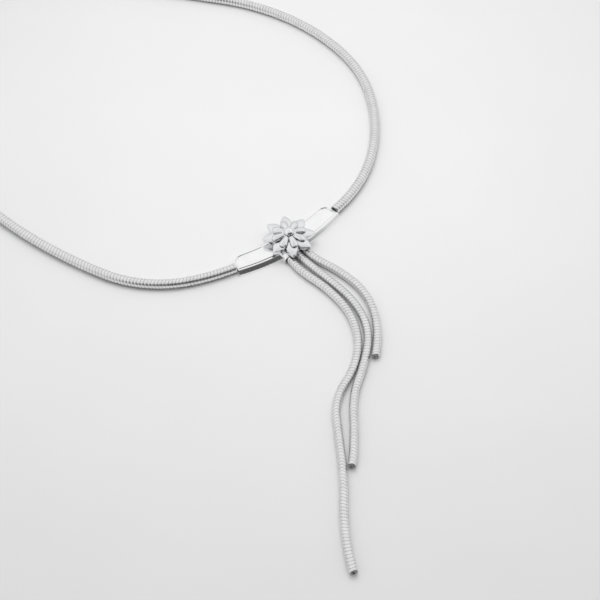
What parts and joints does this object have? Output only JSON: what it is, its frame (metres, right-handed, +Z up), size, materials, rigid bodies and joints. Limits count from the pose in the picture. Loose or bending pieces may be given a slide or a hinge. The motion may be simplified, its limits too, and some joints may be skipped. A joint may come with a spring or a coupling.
{
  "type": "choker necklace",
  "caption": "Silver choker necklace lying open: round snake chain on a bowed bar with a layered flower, and a tassel of loose snake chains of different lengths.",
  "frame": {"origin": "on the flat back of the centre bar, midway between its tips, on the surface that the necklace lies on", "axes": "+X along the bar to its right wing, +Y into the loop that goes round the neck, +Z up from the surface"},
  "size_m": [0.1189, 0.2174, 0.0058],
  "materials": {
    "polished_silver": "mirror-polished silver plating",
    "petal_silver": "polished cast silver plating",
    "snake_chain": "fine ribbed silver plating"
  },
  "bodies": {
    "root": {"centre_bar": "polished_silver", "outer_petals": "petal_silver", "inner_petals": "petal_silver", "bead_rivet": "polished_silver", "neck_chain_right": "snake_chain", "neck_chain_left": "snake_chain", "clasp": "polished_silver", "strand_short": "snake_chain", "strand_middle": "snake_chain", "strand_long": "snake_chain"}
  },
  "joints": []
}
